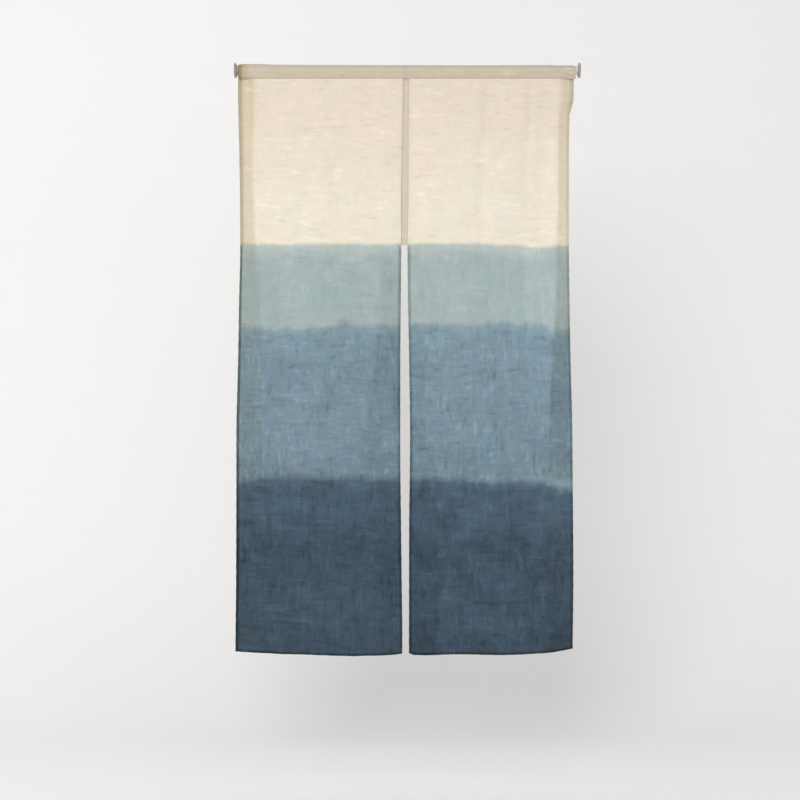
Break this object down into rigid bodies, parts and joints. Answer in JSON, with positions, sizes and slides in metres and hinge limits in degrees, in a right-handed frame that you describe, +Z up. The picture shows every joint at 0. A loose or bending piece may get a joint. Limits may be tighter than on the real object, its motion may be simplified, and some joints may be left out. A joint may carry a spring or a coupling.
{
  "type": "noren curtain on a tension rod",
  "caption": "Split doorway curtain of dip-dyed cloth, hung by a sewn casing on a plain tension rod that presses between the sides of a doorway.",
  "frame": {"origin": "middle of the left foot's flat face, on the rod's axis", "axes": "+X along the rod towards the right foot, +Z up, front of the curtain towards -Y"},
  "size_m": [0.873, 0.0471, 1.4976],
  "materials": {
    "heading_cloth": "doubled slub linen, undyed, matte",
    "panel_cloth": "slub linen, undyed at the top and dipped to pale, middle and dark blue below, matte",
    "strip_cloth": "doubled slub linen, undyed, matte",
    "rod_enamel": "satin white enamel",
    "foot_rubber": "matte grey"
  },
  "bodies": {
    "root": {"heading": "heading_cloth", "panel_left": "panel_cloth", "panel_right": "panel_cloth", "joining_strip": "strip_cloth", "rod": "rod_enamel", "foot_left": "foot_rubber", "foot_right": "foot_rubber"}
  },
  "joints": []
}
